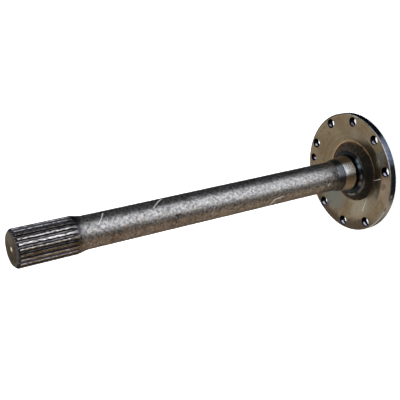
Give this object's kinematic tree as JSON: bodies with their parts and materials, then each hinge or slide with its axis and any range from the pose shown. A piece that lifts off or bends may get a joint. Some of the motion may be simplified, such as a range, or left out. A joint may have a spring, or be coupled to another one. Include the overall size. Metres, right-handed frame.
{
  "type": "axle drive shaft",
  "caption": "Forged drive shaft in one piece: a dished round flange with bolt holes at one end, a plain round bar, and a straight-sided run of involute spline teeth at the other.",
  "frame": {"origin": "on the shaft's axis, at the flat pad of the flange's outer face, which the shaft stands on", "axes": "+Z along the shaft's axis, from the flange up to the splined end; +X through the first bolt hole; +Y follows by the right-hand rule"},
  "size_m": [0.21, 0.2098, 0.646],
  "materials": {
    "forged_steel": "dark forging scale on the bar and the boss, turned and slightly browned metal on the flange, worn bright crests on the spline"
  },
  "bodies": {
    "root": {"axle_shaft": "forged_steel"}
  },
  "joints": []
}
